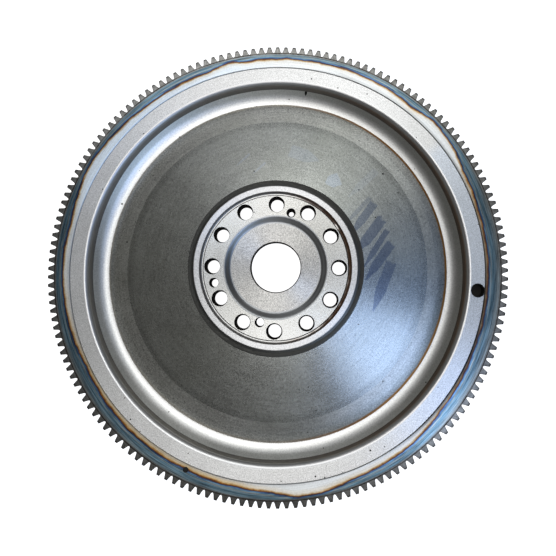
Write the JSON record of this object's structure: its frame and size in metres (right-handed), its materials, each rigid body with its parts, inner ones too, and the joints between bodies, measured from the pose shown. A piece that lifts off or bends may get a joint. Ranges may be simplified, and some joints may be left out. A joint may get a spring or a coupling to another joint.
{
  "type": "flywheel",
  "caption": "Heavy engine flywheel disc with a toothed starter ring on its rim, a dished web, and a raised hub with a bolt circle and a centre bore.",
  "frame": {"origin": "on the axis of rotation, level with the tips of the clutch dowel pins, which is the lowest plane of the part", "axes": "+Z along the axis of rotation, from the clutch side towards the engine side; +X through the middle of one crankshaft bolt hole and one gear tooth"},
  "size_m": [0.507, 0.507, 0.0574],
  "materials": {
    "machined_iron": "turned and lightly oiled grey iron, fine turning grain, small black pits, rust-brown line in the web corner",
    "tempered_steel": "steel with heat tint bands from dark blue at the teeth to straw and silver at the seat",
    "pin_steel": "ground hardened steel"
  },
  "bodies": {
    "root": {"flywheel_body": "machined_iron", "ring_gear": "tempered_steel", "clutch_dowel_pin_1": "pin_steel", "clutch_dowel_pin_2": "pin_steel", "clutch_dowel_pin_3": "pin_steel"}
  },
  "joints": []
}
